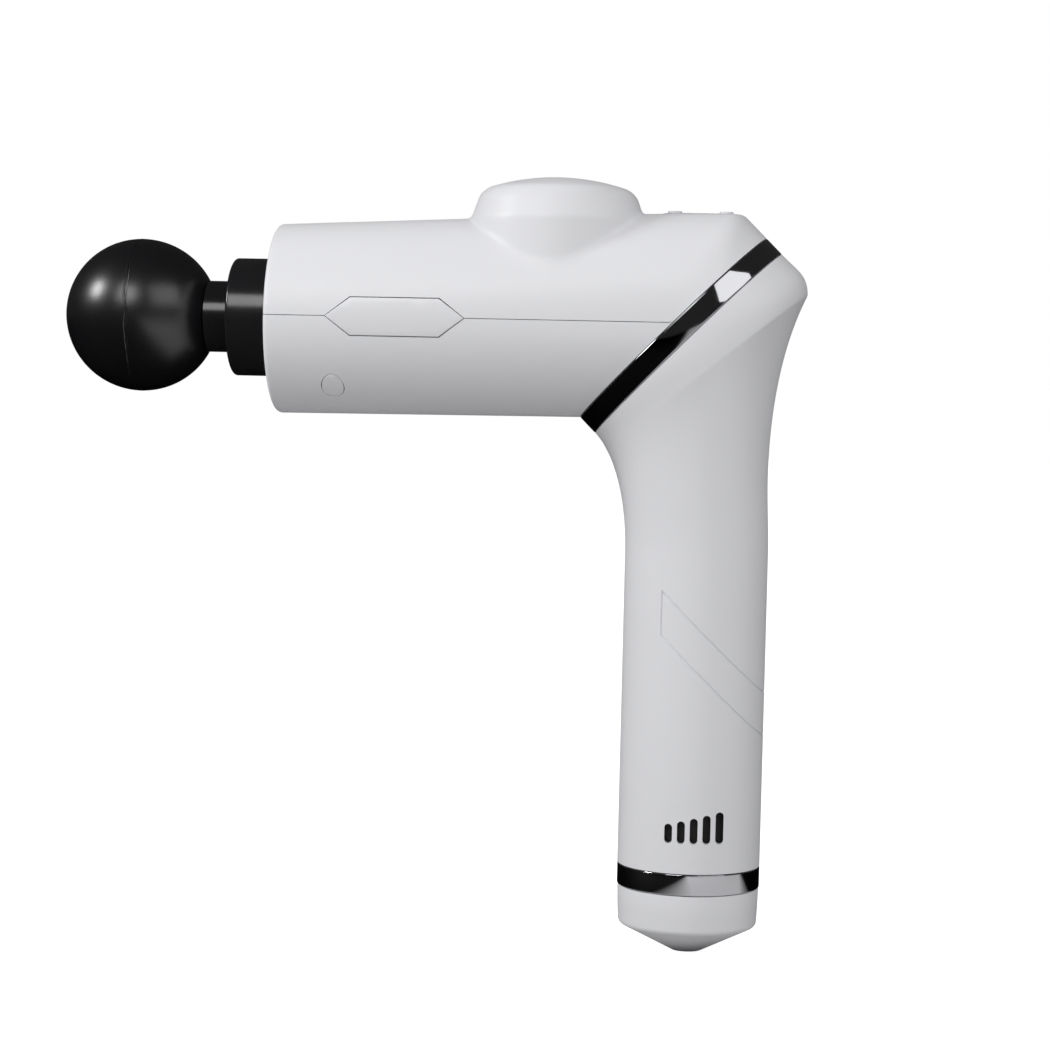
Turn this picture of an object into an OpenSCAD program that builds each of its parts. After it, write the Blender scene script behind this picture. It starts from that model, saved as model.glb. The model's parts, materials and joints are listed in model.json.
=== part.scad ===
// Percussion massage gun with a round foam head, pistol layout.
// The origin is on the handle's axis, in the straight grip wall. +Z is up and the head points
// along -X. Barrel pieces are drawn with the piston's axis as their X axis and lifted to it.

/* [Grip] */
// Outside diameter of the straight grip
handle_d = 46.3; // [46:0.1:56]
// Top of the straight grip wall above the origin
grip_top = 46; // [38:1:56]
// Depth of the straight grip wall below the origin
grip_bottom = 54.6; // [54:0.2:68]
// Wall of the handle moulding
handle_wall = 2.4; // [1.8:0.1:2.4]
// Height of the metal ring under the grip
ring_h = 7; // [5:0.5:10]
// Height of the bottom cap's straight side
cap_h = 13.1; // [11:0.1:18]
// Drop of the bottom cap's cone
cap_drop = 8.3; // [6:0.1:10]

/* [Elbow] */
// Height of the piston's axis above the origin
axis_h = 120; // [118:1:140]
// Offset of the band's front face from the piston's axis, across the band
band_front = 6.1; // [5:0.1:8]
// Width of the metal band
band_w = 7.2; // [5:0.1:9]
// Upper end of the band along its slope
band_high = 34.3; // [32:0.1:36]
// Overhang of the knuckle behind the grip wall
knuckle = 10.4; // [8:0.1:13]

/* [Barrel] */
// Distance from the handle's axis to the barrel's front face
barrel_front = 138.4; // [132:0.2:168]
// Diameter of the barrel's front face
front_d = 61.6; // [60:0.2:70]
// Half angle of the barrel's taper, in degrees
barrel_draft = 1.06; // [0.8:0.02:1.4]
// Rise of the barrel's axis towards the rear, in degrees
barrel_tilt = 1.56; // [1.2:0.02:1.8]
// Wall of the barrel mouldings
barrel_wall = 2.6; // [2:0.1:3]
// Height of the flat under the control panel above the piston's axis
panel_z = 36; // [35:0.1:37]
// Half length of the side badge
badge_half = 22.1; // [18:0.1:26]
// Height of the side badge
badge_h = 11.9; // [10:0.1:14]

/* [Motor] */
// Distance from the handle's axis to the motor's axis
motor_x = 47.6; // [46:0.1:52]
// Diameter of the motor's outer rotor
motor_d = 42; // [36:0.5:43]
// Diameter of the motor shaft
shaft_d = 5; // [4:0.5:6]
// Radius of the crank: half of the head's stroke
crank_r = 6; // [5:0.5:7.2]
// Distance between the connecting rod's two pivots
rod_len = 38; // [37:0.5:40]
// Outside diameter of the connecting rod's bearing
bearing_d = 16; // [14:0.5:18]

/* [Piston and head] */
// Diameter of the piston
piston_d = 23.3; // [21:0.1:25]
// Running clearance of the piston in its bush, on the radius
piston_fit = 0.05; // [0.02:0.01:0.1]
// Diameter of the guide collar
collar_d = 38.4; // [36:0.2:42]
// Length of the collar in front of the barrel
collar_out = 14.7; // [12:0.1:18]
// Length of piston that shows at rest
neck = 8.6; // [6:0.1:12]
// Diameter of the head's plug-in stem
stem_d = 17.4; // [15:0.1:18]
// Depth of the piston's socket
socket_depth = 26; // [22:1:30]
// Diameter of the round head
ball_d = 50; // [44:0.5:60]

/* [Battery] */
// Diameter of one wrapped cell
cell_d = 18.3; // [17:0.1:18.3]
// Length of one cell
cell_len = 65.2; // [60:0.1:65.2]

/* [Hidden] */
$fn = 64;
gap = 0.05;                 // clearance of pieces that are pushed together
loose = 0.3;                // clearance of pieces that move past each other
big = 400;                  // size of the blocks that cut away a whole side

handle_r = handle_d / 2;
bore_r = handle_r - handle_wall;
ring_low = -grip_bottom - ring_h;
cap_low = ring_low - cap_h;
front_r = front_d / 2;
front_drop = 0.28;          // the barrel's front face is centred this far under the piston's axis
band_rear = band_front - band_w;
collar_r = collar_d / 2;
collar_x = -barrel_front - collar_out;
piston_r = piston_d / 2;
nose_x = collar_x - neck;
crank_x = -motor_x + crank_r;
wrist_x = crank_x - rod_len;

// Centre height and radius of the barrel at a place along X
function barrel_cz(x) = -front_drop + (x + barrel_front) * tan(barrel_tilt);
function barrel_r(x) = front_r + (x + barrel_front) * tan(barrel_draft);
elbow_x = -8;
band_b = barrel_r(elbow_x);                      // half width of the band
band_foot_x = -39;
band_foot_z = barrel_cz(band_foot_x) - barrel_r(band_foot_x);
band_low = sqrt(2) * band_foot_z - band_front;   // lower end of the band along its slope
cap_r = band_b + 0.2;                            // radius of the rounded top at the elbow

// ---- Shared helpers ----
module at_axis() { translate([0, 0, axis_h]) children(); }
// The elbow's frame: X climbs to the rear along the band, Z points to the front and up
module elbow() { rotate([0, -45, 0]) children(); }
module along_x(x) { translate([x, 0, 0]) rotate([0, 90, 0]) children(); }
module tube(h, r_out, r_in) {
    difference() {
        cylinder(h = h, r = r_out);
        translate([0, 0, -1]) cylinder(h = h + 2, r = r_in);
    }
}
module mirrored_y() {
    children();
    mirror([0, 1, 0]) children();
}
// A long flat shape with round ends along X
module stadium(len, wide, h) {
    side = (len - wide) / 2;
    for (s = [-1, 1]) translate([s * side, 0, 0]) cylinder(h = h, r = wide / 2);
    translate([-side, -wide / 2, 0]) cube([2 * side, wide, h]);
}
// Outline across the elbow: a half ellipse below and a half circle above
function egg(t, low, high, half_w) = [(cos(t) < 0 ? -low : high) * cos(t), half_w * sin(t)];
module egg_plate(h, inset) {
    pts = [for (t = [0:5:355]) egg(t, band_low + inset, band_high - inset, band_b - inset)];
    linear_extrude(height = h) polygon(pts);
}

// ---- Barrel mouldings ----
module barrel_cone(inset) {
    lead = 8;
    len = barrel_front + 60;
    translate([-barrel_front, 0, -front_drop]) rotate([0, 90 - barrel_tilt, 0])
        translate([0, 0, -lead])
            cylinder(h = len, r1 = front_r - inset - lead * tan(barrel_draft),
                r2 = front_r - inset + (len - lead) * tan(barrel_draft));
}
bump_r = motor_d / 2 + 4.8;
bump_z = 40;                // height of the bump's soft edge
bump_top = 47;
module motor_bump(inset) {
    r = bump_r - inset;
    rise = bump_z - inset;
    top = bump_top - inset;
    flat_r = r - 3.3;
    crown = top - rise - 3.4;
    dome_r = (flat_r * flat_r + crown * crown) / (2 * crown);
    translate([-motor_x, 0, 0]) rotate_extrude()
        polygon(concat([[0, 8], [r + 2.4, 8], [r + 1.8, rise - 6], [r, rise], [r - 0.9, rise + 1.9],
            [r - 3.3, rise + 3.4]],
            [for (i = [1:4]) let (q = flat_r * (1 - i / 4))
                [q, top - dome_r + sqrt(dome_r * dome_r - q * q)]]));
}
module barrel_skin(inset, front) {
    difference() {
        union() {
            intersection() {
                barrel_cone(inset);
                elbow() union() {
                    translate([band_high - cap_r, 0, band_front])
                        cylinder(h = big, r = cap_r - inset);
                    translate([band_high - cap_r - big, -big / 2, band_front])
                        cube([big, big, big]);
                }
            }
            motor_bump(inset);
        }
        translate([-barrel_front + front - big, -big / 2, -big / 2]) cube(big);
        translate([-18, -big / 2, panel_z - inset]) cube(big);
        elbow() translate([-big / 2, -big / 2, band_front - big]) cube(big);
    }
}
plug_x = 21.5;              // distance from the barrel's front face to the joining screws
plug_y = 21.3;
plug_r = 3.5;
head_z = -12;               // seat of the joining screws
screw_r = 1.5;
module at_plugs() { translate([-barrel_front + plug_x, plug_y, 0]) children(); }
post_r = 3;                 // posts that carry the motor's bracket
post_at = motor_d / 2 + 4.5;
module at_posts() {
    for (a = [45:90:315]) translate([-motor_x, 0, 0]) rotate([0, 0, a])
        translate([post_at, 0, 0]) children();
}
bracket_z = 11;
bracket_t = 3;
panel_x = -1.5;             // centre of the control panel
panel_len = 25;
panel_w = 13;
badge_x = -barrel_front + 42.2;
badge_deep = 0.8;
badge_gap = 0.2;
module badge_prism(grow) {
    slope = badge_half - 8 + grow / 2;
    tip = badge_half + grow;
    half = badge_h / 2 + grow;
    translate([badge_x, 0, 0]) rotate([90, 0, 0]) linear_extrude(height = big)
        polygon([[-tip, 0], [-slope, half], [slope, half], [tip, 0], [slope, -half],
            [-slope, -half]]);
}
module badge_layer(out, grow) {
    intersection() {
        badge_prism(grow);
        difference() {
            barrel_cone(-out);
            barrel_cone(badge_deep);
        }
    }
}
flange_r = collar_r + 3.6;
flange_x = -barrel_front + barrel_wall;
flange_t = 3;
// Half rings that hold the collar's flange against the front wall
module flange_ribs() {
    along_x(flange_x + flange_t + gap) tube(2, front_r, collar_r - 1);
}
module front_openings() {
    along_x(-barrel_front - 1) cylinder(h = barrel_wall + 2, r = collar_r + gap);
}
module upper_shell() {
    color("white") at_axis() difference() {
        intersection() {
            barrel_skin(0, 0);
            translate([-big / 2, -big / 2, 0]) cube(big);
        }
        difference() {
            barrel_skin(barrel_wall, barrel_wall);
            mirrored_y() at_plugs() cylinder(h = big, r = plug_r + 1.4);
            at_posts() translate([0, 0, bracket_z + bracket_t]) cylinder(h = big, r = post_r);
            flange_ribs();
        }
        front_openings();
        mirrored_y() at_plugs() translate([0, 0, -1]) cylinder(h = 11, r = screw_r + gap);
        at_posts() translate([0, 0, bracket_z]) cylinder(h = 12, r = 1.25 + gap);
        translate([panel_x, 0, panel_z - 12]) stadium(panel_len + 2 * gap, panel_w + 2 * gap, 24);
        mirrored_y() badge_layer(2, badge_gap);
    }
}
module lower_shell() {
    color("white") at_axis() difference() {
        intersection() {
            barrel_skin(0, 0);
            translate([-big / 2, -big / 2, -big]) cube(big);
        }
        difference() {
            barrel_skin(barrel_wall, barrel_wall);
            mirrored_y() at_plugs() translate([0, 0, -big]) cylinder(h = big, r = plug_r + 1.4);
            flange_ribs();
        }
        front_openings();
        mirrored_y() at_plugs() {
            translate([0, 0, -big]) cylinder(h = big + 1, r = screw_r + gap);
            translate([0, 0, head_z - big]) cylinder(h = big, r = plug_r + gap);
        }
        mirrored_y() badge_layer(2, badge_gap);
    }
}
module side_badges() {
    color("white") at_axis() mirrored_y() badge_layer(0.15, 0);
}
module screw_plugs() {
    color("white") at_axis() mirrored_y() intersection() {
        barrel_cone(0);
        at_plugs() translate([0, 0, -big + head_z - 3]) cylinder(h = big, r = plug_r);
    }
}
module shell_screws() {
    color("dimgray") at_axis() mirrored_y() at_plugs() {
        translate([0, 0, head_z - 2]) cylinder(h = 2, r = 2.75);
        translate([0, 0, head_z]) cylinder(h = 9 - head_z, r = screw_r);
    }
}

// ---- Guide of the piston ----
bush_r = piston_r + 2.5;
seal_r = piston_r + 3.2;
bush_front = collar_x + 3;
bush_rear = flange_x + flange_t + 18;
module guide_collar() {
    color([0.06, 0.06, 0.07]) at_axis() difference() {
        union() {
            along_x(collar_x) cylinder(h = flange_x + flange_t - collar_x, r = collar_r);
            along_x(flange_x + gap) cylinder(h = flange_t - gap, r = flange_r);
            along_x(flange_x) cylinder(h = bush_rear - flange_x, r = bush_r + 1.8);
        }
        along_x(collar_x - 1) cylinder(h = big, r = piston_r + loose);
        along_x(collar_x + 0.8) cylinder(h = bush_front - collar_x - 0.8, r = seal_r);
        along_x(bush_front) cylinder(h = big, r = bush_r);
    }
}
module guide_bush() {
    color("peru") at_axis() along_x(bush_front)
        tube(bush_rear - bush_front, bush_r, piston_r + piston_fit);
}
module lip_seal() {
    color([0.1, 0.1, 0.1]) at_axis() along_x(collar_x + 0.8)
        tube(bush_front - collar_x - 0.8, seal_r, piston_r + loose);
}

// ---- Motor ----
can_r = motor_d / 2;
magnet_t = 2;
can_t = 1.8;
stator_r = can_r - can_t - magnet_t - 0.6;
can_low = bracket_z + bracket_t + 1.5;
can_top = 38;
core_low = can_low + 2.5;
core_h = 12;
hub_r = shaft_d / 2 + 3.9;
seat_r = hub_r - 0.9;       // seat of the shaft's bearings
teeth = 9;
module at_motor(z) { translate([-motor_x, 0, axis_h + z]) children(); }
module motor_bracket() {
    color("silver") difference() {
        union() {
            at_motor(bracket_z) cylinder(h = bracket_t, r = can_r + 1);
            at_axis() at_posts() translate([0, 0, bracket_z]) cylinder(h = bracket_t, r = post_r + 1);
            at_motor(bracket_z) cylinder(h = can_top - 5 - bracket_z, r = hub_r);
        }
        at_motor(bracket_z - 1) cylinder(h = big, r = shaft_d / 2 + 0.7);
        at_motor(bracket_z + bracket_t) cylinder(h = big, r = seat_r);
        at_axis() at_posts() translate([0, 0, bracket_z - 1]) cylinder(h = 9, r = 1.25 + gap);
    }
}
module bracket_screws() {
    color("dimgray") at_axis() at_posts() {
        translate([0, 0, bracket_z - 1.8]) cylinder(h = 1.8, r = 2.4);
        translate([0, 0, bracket_z]) cylinder(h = 11, r = 1.25);
    }
}
module shaft_bearings() {
    color("lightgray") for (z = [bracket_z + bracket_t, can_top - 9])
        at_motor(z) tube(4, seat_r, shaft_d / 2 + 0.03);
}
slot_r = (stator_r - hub_r) * 0.26;
slot_at = (stator_r + hub_r) / 2 + 0.2;
module at_slots() {
    for (i = [0:teeth - 1]) rotate([0, 0, i * 360 / teeth]) children();
}
module stator_core() {
    color("slategray") at_motor(core_low) difference() {
        cylinder(h = core_h, r = stator_r);
        translate([0, 0, -1]) cylinder(h = core_h + 2, r = hub_r);
        at_slots() {
            translate([slot_at, 0, -1]) cylinder(h = core_h + 2, r = slot_r);
            translate([slot_at, -0.6, -1]) cube([stator_r, 1.2, core_h + 2]);
        }
    }
}
module motor_windings() {
    turn = 1.6;
    color("orangered") at_motor(core_low) {
        at_slots() translate([slot_at, 0, -turn / 2])
            cylinder(h = core_h + turn, r = slot_r - gap);
        for (z = [-turn, core_h]) translate([0, 0, z])
            tube(turn, slot_at + slot_r + 0.3, slot_at - slot_r - 0.3);
    }
}
module rotor_can() {
    color("gainsboro") at_motor(can_low) difference() {
        cylinder(h = can_top - can_low, r = can_r);
        translate([0, 0, -1]) cylinder(h = can_top - can_low - 1, r = can_r - can_t);
        translate([0, 0, -1]) cylinder(h = big, r = shaft_d / 2);
        for (a = [0:60:300]) rotate([0, 0, a]) translate([can_r * 0.55, 0, 0])
            cylinder(h = big, r = 2.6);
    }
}
module rotor_magnets() {
    color("darkslategray") at_motor(core_low) difference() {
        tube(core_h, can_r - can_t, can_r - can_t - magnet_t);
        for (a = [0:30:150]) rotate([0, 0, a]) translate([-big / 2, -0.4, -1])
            cube([big, 0.8, core_h + 2]);
    }
}
rod_t = 8;                  // thickness of the connecting rod
ecc_z = rod_t / 2 + 1;
ecc_t = 5;
module motor_shaft() {
    color("lightsteelblue") at_motor(ecc_z) cylinder(h = can_top + 0.5 - ecc_z, r = shaft_d / 2);
}
weight_r = crank_r + 12;
pin_r = 3;                  // crank screw's shank
module crank_eccentric() {
    color("dimgray") at_motor(ecc_z) difference() {
        union() {
            cylinder(h = ecc_t, r = crank_r + pin_r + 2.6);
            intersection() {
                cylinder(h = ecc_t, r = weight_r);
                translate([-big, -big / 2, 0]) cube([big - 2, big, ecc_t]);
            }
        }
        translate([0, 0, -1]) cylinder(h = big, r = shaft_d / 2);
        translate([crank_r, 0, -1]) cylinder(h = big, r = pin_r - 0.5);
    }
}

// ---- Connecting rod, piston and head ----
rod_eye_r = bearing_d / 2 + 2.6;
small_eye_r = 6.5;
wrist_r = 2.5;
rod_w = 8.5;
module at_crank(z) { translate([crank_x, 0, axis_h + z]) children(); }
module at_wrist(z) { translate([wrist_x, 0, axis_h + z]) children(); }
module connecting_rod() {
    color("silver") difference() {
        union() {
            at_crank(-rod_t / 2) cylinder(h = rod_t, r = rod_eye_r);
            at_wrist(-rod_t / 2) cylinder(h = rod_t, r = small_eye_r);
            at_wrist(-rod_t / 2) translate([0, -rod_w / 2, 0]) cube([rod_len, rod_w, rod_t]);
        }
        at_crank(-rod_t) cylinder(h = 2 * rod_t, r = bearing_d / 2);
        at_wrist(-rod_t) cylinder(h = 2 * rod_t, r = wrist_r + 0.03);
        for (z = [-rod_t / 2 - 1, rod_t / 2 - 1.5]) at_wrist(z)
            translate([small_eye_r + 3, -2.5, 0]) cube([rod_len - rod_eye_r - small_eye_r - 6, 5, 2.5]);
    }
}
module rod_bearing() {
    color("lightgray") at_crank(-rod_t / 2 + 1) difference() {
        tube(rod_t - 2, bearing_d / 2, pin_r);
        for (z = [-0.1, rod_t - 2.7]) translate([0, 0, z])
            tube(0.8, bearing_d / 2 - 1.6, pin_r + 1.4);
    }
}
module crank_screw() {
    color("dimgray") {
        at_crank(-rod_t / 2 - 1.8) cylinder(h = 2.8, r = pin_r + 1.4);
        at_crank(-rod_t / 2 + 1) cylinder(h = rod_t / 2 + ecc_z - loose - 1, r = pin_r);
    }
}
piston_rear = wrist_x + small_eye_r + 0.4;
fork = rod_t / 2 + loose;
socket_r = stem_d / 2 + gap;
module piston() {
    color([0.06, 0.06, 0.07]) at_axis() difference() {
        along_x(nose_x) cylinder(h = piston_rear - nose_x, r = piston_r);
        along_x(nose_x - 1) cylinder(h = socket_depth + 1, r = socket_r);
        along_x(nose_x + socket_depth + 4) cylinder(h = wrist_x - nose_x - socket_depth - 18,
            r = piston_r - 3.5);
        translate([wrist_x - small_eye_r - 1, -big / 2, -fork]) cube([big, big, 2 * fork]);
        translate([wrist_x, 0, -big / 2]) cylinder(h = big, r = wrist_r);
    }
}
module wrist_pin() {
    color("lightgray") at_wrist(0) intersection() {
        translate([0, 0, -big / 2]) cylinder(h = big, r = wrist_r);
        along_x(-big / 2) cylinder(h = big, r = piston_r - 0.6);
    }
}
ball_r = ball_d / 2;
flat_r = piston_r - 0.2;    // flat on the ball where it meets the piston
ball_face = nose_x - loose;
ball_x = ball_face - sqrt(ball_r * ball_r - flat_r * flat_r);
core_r = 8;                 // core of the stem inside the foam
stem_len = socket_depth - 2;
ring_r = 1;
ring_places = [7, 17];
stem_r = stem_d / 2;
module head_stem() {
    color([0.06, 0.06, 0.07]) at_axis() {
        difference() {
            along_x(ball_face) cylinder(h = stem_len + loose, r = stem_r);
            for (p = ring_places) along_x(nose_x + p - ring_r) tube(2 * ring_r, big, stem_r - 1.9);
            along_x(nose_x + 4) cylinder(h = big, r = stem_r - 4);
        }
        along_x(ball_x - 1) cylinder(h = ball_face - ball_x + 2, r = core_r);
        along_x(ball_x - 3) cylinder(h = 3, r = core_r + 4);
    }
}
module stem_rings() {
    color("firebrick") at_axis() for (p = ring_places) along_x(nose_x + p) rotate_extrude()
        translate([stem_r - 0.9, 0]) circle(r = ring_r - 0.08);
}
module ball_head() {
    color([0.1, 0.1, 0.1]) at_axis() difference() {
        translate([ball_x, 0, 0]) sphere(r = ball_r);
        along_x(ball_face) cylinder(h = big, r = big);
        along_x(ball_x - 1) cylinder(h = big, r = core_r);
        along_x(ball_x - 3) cylinder(h = 3, r = core_r + 4);
    }
}

// ---- Elbow and handle ----
module metal_band() {
    color([0.2, 0.2, 0.22]) at_axis() elbow() translate([0, 0, band_rear]) difference() {
        egg_plate(band_w, 0);
        translate([0, 0, -1]) egg_plate(band_w + 2, barrel_wall);
    }
}
frame_deep = 3;             // how far the inner frame reaches into the handle and the barrel
module elbow_frame() {
    // The barrel's wall measures more along the slope than straight through
    wall_in = barrel_wall * sqrt(2) + 0.2;
    color("dimgray") at_axis() elbow() translate([0, 0, band_rear - frame_deep]) difference() {
        egg_plate(band_w + 2 * frame_deep, wall_in);
        translate([0, 0, -1]) egg_plate(band_w + 2 * frame_deep + 2, wall_in + 2.4);
    }
}
// Cubic curve through a start and an end, pulled by two handles
function curve(a, b, c, d, t) = a * pow(1 - t, 3) + b * 3 * t * pow(1 - t, 2)
    + c * 3 * t * t * (1 - t) + d * pow(t, 3);
function slope_point(d, k) = [(d - k) / sqrt(2), (d + k) / sqrt(2)];
down = [1, -1] / sqrt(2);
weld = 0.02;                                  // seam between the flared and the straight wall
drop_top = grip_top + weld - axis_h;          // end of the flare, from the piston's axis
front_a = slope_point(band_low, band_rear);
back_a = slope_point(band_high, band_rear);
knuckle_at = [handle_r + knuckle, 10.5];
waist = [handle_r - 0.75, drop_top * 0.65];   // the slimmest place behind the grip
// The moulding's front and back edges in the XZ plane, from the band down to the straight wall
function front_edge(t) = curve(front_a, front_a + 7.5 * down, [-handle_r, drop_top + 20],
    [-handle_r, drop_top], t);
function back_edge(t) = t < 0.25
    ? curve(back_a, back_a + 7 * down, knuckle_at + [0, 6.7], knuckle_at, t / 0.25)
    : t < 0.8
    ? curve(knuckle_at, knuckle_at - [3.1, 6.5], waist + [0.1, 34], waist, (t - 0.25) / 0.55)
    : curve(waist, waist - [0, 9], [handle_r, drop_top + 9], [handle_r, drop_top], (t - 0.8) / 0.2);
function ease(t) = t * t * (3 - 2 * t);
function half_wide(t) = band_b + (handle_r - band_b) * ease(t);
low_share = -band_low / (band_high - band_low);
// One ring of the moulding: an egg laid between its front and back edge
function flare_ring(t, inset) = let (a = front_edge(t), b = back_edge(t), span = norm(b - a),
    dir = (b - a) / span, low = span * (low_share + (0.5 - low_share) * t),
    mid = a + low * dir)
    [for (u = [0:7.5:352.5]) let (p = egg(u, inset - low, span - low - inset, half_wide(t) - inset))
        [mid[0] + p[0] * dir[0], p[1], mid[1] + p[0] * dir[1]]];
module flare() {
    steps = 18;
    n = 48;
    outer = [for (i = [0:steps]) each flare_ring(i / steps, 0)];
    inner = [for (i = [0:steps]) each flare_ring(i / steps, handle_wall)];
    inner_0 = (steps + 1) * n;
    function quad(a, b, c, d) = [[a, b, c], [a, c, d]];
    skin = [for (i = [0:steps - 1]) for (j = [0:n - 1]) let (k = (j + 1) % n)
        each quad(i * n + j, i * n + k, (i + 1) * n + k, (i + 1) * n + j)];
    lining = [for (i = [0:steps - 1]) for (j = [0:n - 1]) let (k = (j + 1) % n)
        each quad(inner_0 + i * n + k, inner_0 + i * n + j, inner_0 + (i + 1) * n + j,
            inner_0 + (i + 1) * n + k)];
    ends = [for (i = [0, steps]) for (j = [0:n - 1]) let (k = (j + 1) % n, o = i * n,
        q = inner_0 + i * n)
        each i == 0 ? quad(o + k, o + j, q + j, q + k) : quad(o + j, o + k, q + k, q + j)];
    polyhedron(points = concat(outer, inner), faces = concat(skin, lining, ends), convexity = 8);
}
slots = 5;
slot_w = 2.5;
slot_pitch = 4.05;
slot_low = -44.9;
module vent_slots() {
    for (i = [0:slots - 1]) translate([(i - 1.5) * slot_pitch, 0, slot_low + slot_w / 2]) {
        rise = 6.3 + i - slot_w;
        rotate([90, 0, 0]) cylinder(h = big, r = slot_w / 2);
        translate([0, 0, rise]) rotate([90, 0, 0]) cylinder(h = big, r = slot_w / 2);
        translate([-slot_w / 2, -big, 0]) cube([slot_w, big, rise]);
    }
}
// A slanting outline cut 0.4 mm into each side of the grip
line_w = 0.5;
module grip_lines() {
    left = -10;
    top = 35.4;
    tall = 14;
    far = handle_r + 3;
    fall = 1.0;
    intersection() {
        translate([0, 0, -grip_bottom]) tube(grip_bottom + grip_top, handle_r + 1, handle_r - 0.4);
        rotate([90, 0, 0]) linear_extrude(height = big) difference() {
            polygon([[left, top], [far, top - fall * (far - left)],
                [far, top - tall - fall * (far - left)], [left, top - tall]]);
            polygon([[left + line_w, top - 2.4 * line_w], [far + 1, top - 2.4 * line_w
                - fall * (far + 1 - left - line_w)], [far + 1, top - tall + 1.4 * line_w
                - fall * (far + 1 - left)], [left + line_w, top - tall + line_w * 0.9]]);
        }
    }
}
module handle_shell() {
    color("white") at_axis() flare();
    color("white") difference() {
        translate([0, 0, -grip_bottom]) tube(grip_bottom + grip_top, handle_r, bore_r);
        vent_slots();
        mirror([0, 1, 0]) vent_slots();
        mirrored_y() grip_lines();
    }
}
spigot_r = bore_r - gap;
spigot_top = -grip_bottom + 4.6;
module handle_ring() {
    color([0.2, 0.2, 0.22]) translate([0, 0, ring_low]) tube(ring_h, handle_r, spigot_r + gap);
}
rim_r = handle_r - 0.6;
jack_r = 3.8;
cap_seat = 0.1;             // seat of the cap's screw heads above the cap's lower edge
module at_cap_screws(z) {
    for (s = [-1, 1]) translate([s * 14, 0, cap_low + z]) children();
}
module bottom_cap() {
    wall = 2.4;
    color("white") difference() {
        union() {
            rotate_extrude() polygon([[jack_r, cap_low - cap_drop], [rim_r - 1.8, cap_low - 0.8],
                [rim_r - 0.5, cap_low + 0.3], [rim_r, cap_low + 1.8], [handle_r - 0.2, ring_low],
                [spigot_r, ring_low], [spigot_r, spigot_top], [spigot_r - 2, spigot_top],
                [spigot_r - 2, cap_low + wall + 1], [jack_r + 3, cap_low - cap_drop + wall + 1.4],
                [jack_r, cap_low - cap_drop + wall + 1.4]]);
            at_cap_screws(-1) cylinder(h = 7, r = 4);
        }
        at_cap_screws(-big) cylinder(h = big + 20, r = 1.5 + gap);
        at_cap_screws(cap_seat - big) cylinder(h = big, r = 2.6);
    }
}
module cap_screws() {
    color("dimgray") at_cap_screws(cap_seat - 1.6) {
        cylinder(h = 1.6, r = 2.5);
        cylinder(h = 12, r = 1.5);
    }
}
board_z = cap_low + 8;
board_t = 1.6;
module charge_board() {
    color("darkgreen") difference() {
        translate([0, 0, board_z]) cylinder(h = board_t, r = spigot_r - 2 - loose);
        at_cap_screws(7) cylinder(h = 4, r = 1.5 + gap);
    }
}
module charge_jack() {
    color([0.1, 0.1, 0.1]) difference() {
        translate([0, 0, cap_low - cap_drop + 0.6])
            cylinder(h = board_z - cap_low + cap_drop - 0.6, r = jack_r - gap);
        translate([0, 0, cap_low - cap_drop - 1]) cylinder(h = 11, r = 2.8);
    }
    color("silver") translate([0, 0, cap_low - cap_drop + 3])
        cylinder(h = board_z - cap_low + cap_drop - 3, r = 1);
}

// ---- Battery and electronics ----
cell_r = cell_d / 2;
cell_at = (cell_d + 0.05) / sqrt(3);          // distance of each cell from the pack's axis
holder_r = bore_r - 1.2;
holder_t = 5;
cup = 3;                                      // depth of the holders' cups
layer_low = [spigot_top + 0.2 + holder_t - cup, spigot_top + 0.2 + holder_t + cell_len + 2];
module at_cells() {
    for (a = [90:120:330]) rotate([0, 0, a]) translate([cell_at, 0, 0]) children();
}
module battery_cells() {
    color("steelblue") for (z = layer_low) at_cells() {
        translate([0, 0, z]) cylinder(h = cell_len - 1, r = cell_r);
        translate([0, 0, z + cell_len - 1]) cylinder(h = 1, r = 3);
    }
}
holder_z = [spigot_top + 0.2, layer_low[0] + cell_len - cup, layer_low[1] + cell_len - cup];
module cell_holders() {
    color("dimgray") for (i = [0:2]) difference() {
        translate([0, 0, holder_z[i]])
            cylinder(h = i == 1 ? layer_low[1] - layer_low[0] - cell_len + 2 * cup : holder_t,
                r = holder_r);
        for (z = layer_low) at_cells() translate([0, 0, z]) cylinder(h = cell_len, r = cell_r + gap);
        translate([0, 0, -big / 2]) cylinder(h = big, r = 1.3);
    }
}
module cell_links() {
    link = 0.5;
    top = layer_low[1] + cell_len - cup + holder_t;
    color("lightgray") for (z = [spigot_top + 0.2 - link, top]) for (a = [90, 330])
        rotate([0, 0, a]) translate([cell_at, 0, z]) cylinder(h = link, r = 5.5);
}
module vent_screens() {
    color([0.08, 0.08, 0.08]) mirrored_y() intersection() {
        translate([0, 0, slot_low - 2]) tube(15, bore_r - gap, bore_r - 0.75);
        translate([-10, -big, slot_low - 2]) cube([24, big, 15]);
    }
}
drive_z = -19;              // driver board, from the piston's axis
drive_x = [-26, 12];
module driver_board() {
    color("darkgreen") at_axis() translate([drive_x[0], -15, drive_z])
        cube([drive_x[1] - drive_x[0], 30, 1.6]);
}
module driver_chips() {
    top = drive_z + 1.6;
    color([0.12, 0.12, 0.12]) at_axis() {
        for (i = [0:2]) for (s = [-1, 1]) translate([drive_x[0] + 4 + 7 * i, s * 8 - 3, top])
            cube([5, 6, 1.5]);
        translate([drive_x[1] - 11, -4, top]) cube([8, 8, 1.2]);
        for (s = [-1, 1]) translate([drive_x[1] - 8, s * 10, top]) cylinder(h = 7, r = 3.2);
    }
}
button_x = [panel_x - 8.3, panel_x + 8.3];
button_len = 4.4;
button_w = 7.4;
bezel_t = 1.8;
skirt_t = 0.9;
skirt = 6;
press = 0.6;                // travel of the buttons
button_gap = 0.15;
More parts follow.
